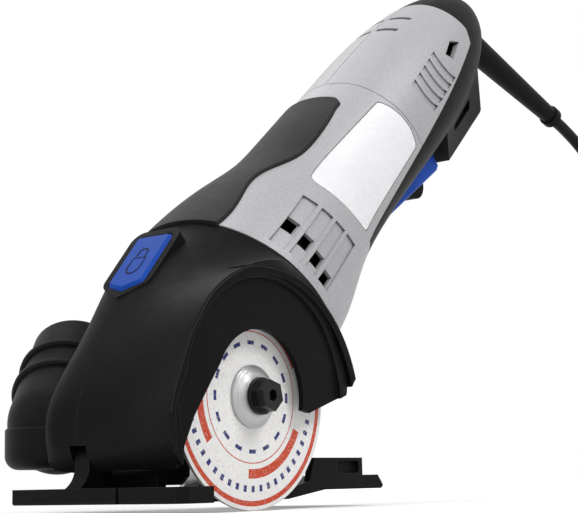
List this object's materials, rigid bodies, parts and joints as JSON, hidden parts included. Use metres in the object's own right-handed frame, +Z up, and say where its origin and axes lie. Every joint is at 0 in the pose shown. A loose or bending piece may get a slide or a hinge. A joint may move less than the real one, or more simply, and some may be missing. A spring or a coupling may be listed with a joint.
{
  "type": "compact circular saw",
  "caption": "Compact circular saw with an abrasive wheel under a fixed guard, bevel-geared motor body, tilting depth foot, dust port, paddle switch and mains cord.",
  "frame": {"origin": "on the sole plane of the foot, straight under the spindle and in the middle plane of the body", "axes": "+X is the cutting direction, +Y points to the wheel's side along the spindle, +Z is up"},
  "size_m": [0.6388, 0.1364, 0.2383],
  "materials": {
    "black_housing": "fine textured moulded nylon, black",
    "grey_housing": "silver-grey speckled plastic",
    "soft_rubber": "dark grey soft overmould",
    "white_plate": "bare white name plate",
    "blue_plastic": "blue moulded plastic",
    "abrasive": "pale bonded abrasive wheel with red band",
    "steel": "turned bright steel",
    "black_steel": "black oxide steel",
    "cast_alloy": "die-cast aluminium",
    "copper": "enamelled copper wire",
    "carbon": "carbon block",
    "cord_rubber": "black rubber cord",
    "nylon": "dark moulded nylon"
  },
  "bodies": {
    "housing": {"wheel_guard": "black_housing", "gear_housing_right": "black_housing", "dust_port": "black_housing", "switch_housing": "black_housing", "motor_housing": "grey_housing", "rear_housing_left": "grey_housing", "rear_housing_right": "grey_housing", "soft_grip": "soft_rubber", "label_plate": "white_plate", "housing_screws": "black_steel", "gear_case": "cast_alloy", "spindle_bearing_outer": "steel", "spindle_bearing_inner": "steel", "motor_bearing_front": "steel", "motor_bearing_rear": "steel", "bearing_retainer": "steel", "stator_core": "steel", "field_coils": "copper", "brush_plate": "nylon", "brush_holders": "copper", "carbon_brushes": "carbon", "switch_module": "nylon", "paddle_pin": "steel", "paddle_spring": "steel", "spindle_lock_spring": "steel", "foot_pivot_pin": "steel", "depth_clamp_bolt": "steel", "cord_boot": "cord_rubber", "cord_lead": "cord_rubber", "cord_coil": "cord_rubber", "cord_tie": "nylon", "power_plug": "cord_rubber", "plug_pins": "steel"},
    "spindle": {"spindle": "steel", "bevel_gear": "steel", "inner_flange": "steel", "cutting_wheel": "abrasive", "outer_flange": "steel", "wheel_bolt": "black_steel"},
    "rotor": {"motor_shaft": "steel", "bevel_pinion": "steel", "armature_core": "steel", "armature_windings": "copper", "commutator": "copper", "cooling_fan": "nylon"},
    "paddle": {"paddle": "blue_plastic", "lock_off_pin": "steel"},
    "lock_off": {"lock_off_lever": "black_housing"},
    "lock_button": {"spindle_lock_button": "blue_plastic"},
    "foot": {"foot_plate": "black_steel", "depth_arc": "steel", "arc_rivets": "steel"},
    "clamp_lever": {"depth_clamp_lever": "nylon"}
  },
  "joints": [
    {"name": "rotor_spin", "type": "hinge", "parent": "housing", "child": "rotor", "pos_m": [0, 0, 0.0352], "axis": [-0.7224, 0, 0.6915], "continuous": true},
    {"name": "spindle_spin", "type": "hinge", "parent": "housing", "child": "spindle", "pos_m": [0, 0, 0.0352], "axis": [0, 1, 0], "continuous": true},
    {"name": "paddle_press", "type": "hinge", "parent": "housing", "child": "paddle", "pos_m": [-0.12109, 0, 0.11983], "axis": [0, 1, 0], "range_deg": [0, 5.8], "stiffness_Nm_per_rad": 0.6, "springref_deg": -6.88, "deforming": ["paddle_spring"]},
    {"name": "lock_off_swing", "type": "hinge", "parent": "paddle", "child": "lock_off", "pos_m": [-0.15429, 0, 0.13722], "axis": [0, 1, 0], "range_deg": [0, 25], "stiffness_Nm_per_rad": 0.02, "springref_deg": -22.92},
    {"name": "spindle_lock_press", "type": "slide", "parent": "housing", "child": "lock_button", "axis": [-0.6915, 0, -0.7224], "range_m": [0, 0.004], "stiffness_N_per_m": 600, "springref_m": -0.003, "deforming": ["spindle_lock_spring"]},
    {"name": "foot_tilt", "type": "hinge", "parent": "housing", "child": "foot", "pos_m": [0.038, 0, 0.014], "axis": [0, 1, 0], "range_deg": [-6, 22]},
    {"name": "depth_clamp_swing", "type": "hinge", "parent": "housing", "child": "clamp_lever", "pos_m": [-0.03564, -0.034, 0.04526], "axis": [0, -1, 0], "range_deg": [0, 90]}
  ],
  "couplings": [
    {"joint": "spindle_spin", "follows": "rotor_spin", "ratio": 0.57895}
  ]
}
